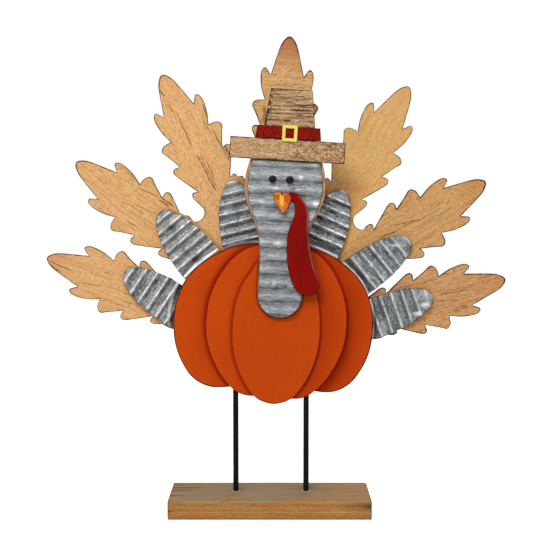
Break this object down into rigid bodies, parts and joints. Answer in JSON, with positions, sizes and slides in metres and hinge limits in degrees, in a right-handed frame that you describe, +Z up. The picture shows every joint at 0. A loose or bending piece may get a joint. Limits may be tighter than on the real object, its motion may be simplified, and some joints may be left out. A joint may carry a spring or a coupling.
{
  "type": "thanksgiving turkey figure",
  "caption": "Standing turkey decoration: layered pumpkin body, fan of leaf and corrugated metal feathers, pilgrim hat, rod legs on a wooden block.",
  "frame": {"origin": "middle of the base block's underside", "axes": "+Z up, the decorated front faces -Y, +X to the right as seen from the front"},
  "size_m": [0.4211, 0.067, 0.4301],
  "materials": {
    "base_wood": "brown stain, lightly worn",
    "black_rod": "satin black",
    "pumpkin_paint": "matte orange paint",
    "raw_wood": "bare wood",
    "galvanised_steel": "galvanised corrugated sheet with mottled grey wash",
    "black_enamel": "gloss black",
    "beak_paint": "satin orange paint",
    "red_paint": "satin dark red paint",
    "hat_wood": "weathered tan wash with dark grooves",
    "buckle_paint": "satin yellow gold",
    "leaf_wood": "tan stain with dark rubbed edges",
    "screw_steel": "zinc plated"
  },
  "bodies": {
    "root": {"base_block": "base_wood", "leg_rod_left": "black_rod", "leg_rod_right": "black_rod", "pumpkin_back_board": "pumpkin_paint", "pumpkin_middle_board": "pumpkin_paint", "pumpkin_front_board": "pumpkin_paint", "head_board": "raw_wood", "head_metal": "galvanised_steel", "eye_left": "black_enamel", "eye_right": "black_enamel", "neck_nail_left": "screw_steel", "neck_nail_right": "screw_steel", "beak": "beak_paint", "wattle": "red_paint", "hat_crown": "hat_wood", "hat_brim": "hat_wood", "hat_band": "red_paint", "hat_buckle": "buckle_paint", "leaf_feather_center": "leaf_wood", "leaf_feather_upper_left": "leaf_wood", "leaf_feather_upper_right": "leaf_wood", "leaf_feather_middle_left": "leaf_wood", "leaf_feather_middle_right": "leaf_wood", "leaf_feather_lower_left": "leaf_wood", "leaf_feather_lower_right": "leaf_wood", "metal_feather_upper_left": "galvanised_steel", "metal_feather_middle_left": "galvanised_steel", "metal_feather_lower_left": "galvanised_steel", "metal_feather_upper_right": "galvanised_steel", "metal_feather_middle_right": "galvanised_steel", "metal_feather_lower_right": "galvanised_steel", "feather_backing_upper_left": "raw_wood", "feather_backing_middle_left": "raw_wood", "feather_backing_lower_left": "raw_wood", "feather_backing_upper_right": "raw_wood", "feather_backing_middle_right": "raw_wood", "feather_backing_lower_right": "raw_wood", "tail_spacer": "raw_wood", "tail_back_plate": "raw_wood", "tail_screw_1": "screw_steel", "tail_screw_2": "screw_steel", "tail_screw_3": "screw_steel", "tail_screw_4": "screw_steel"}
  },
  "joints": []
}
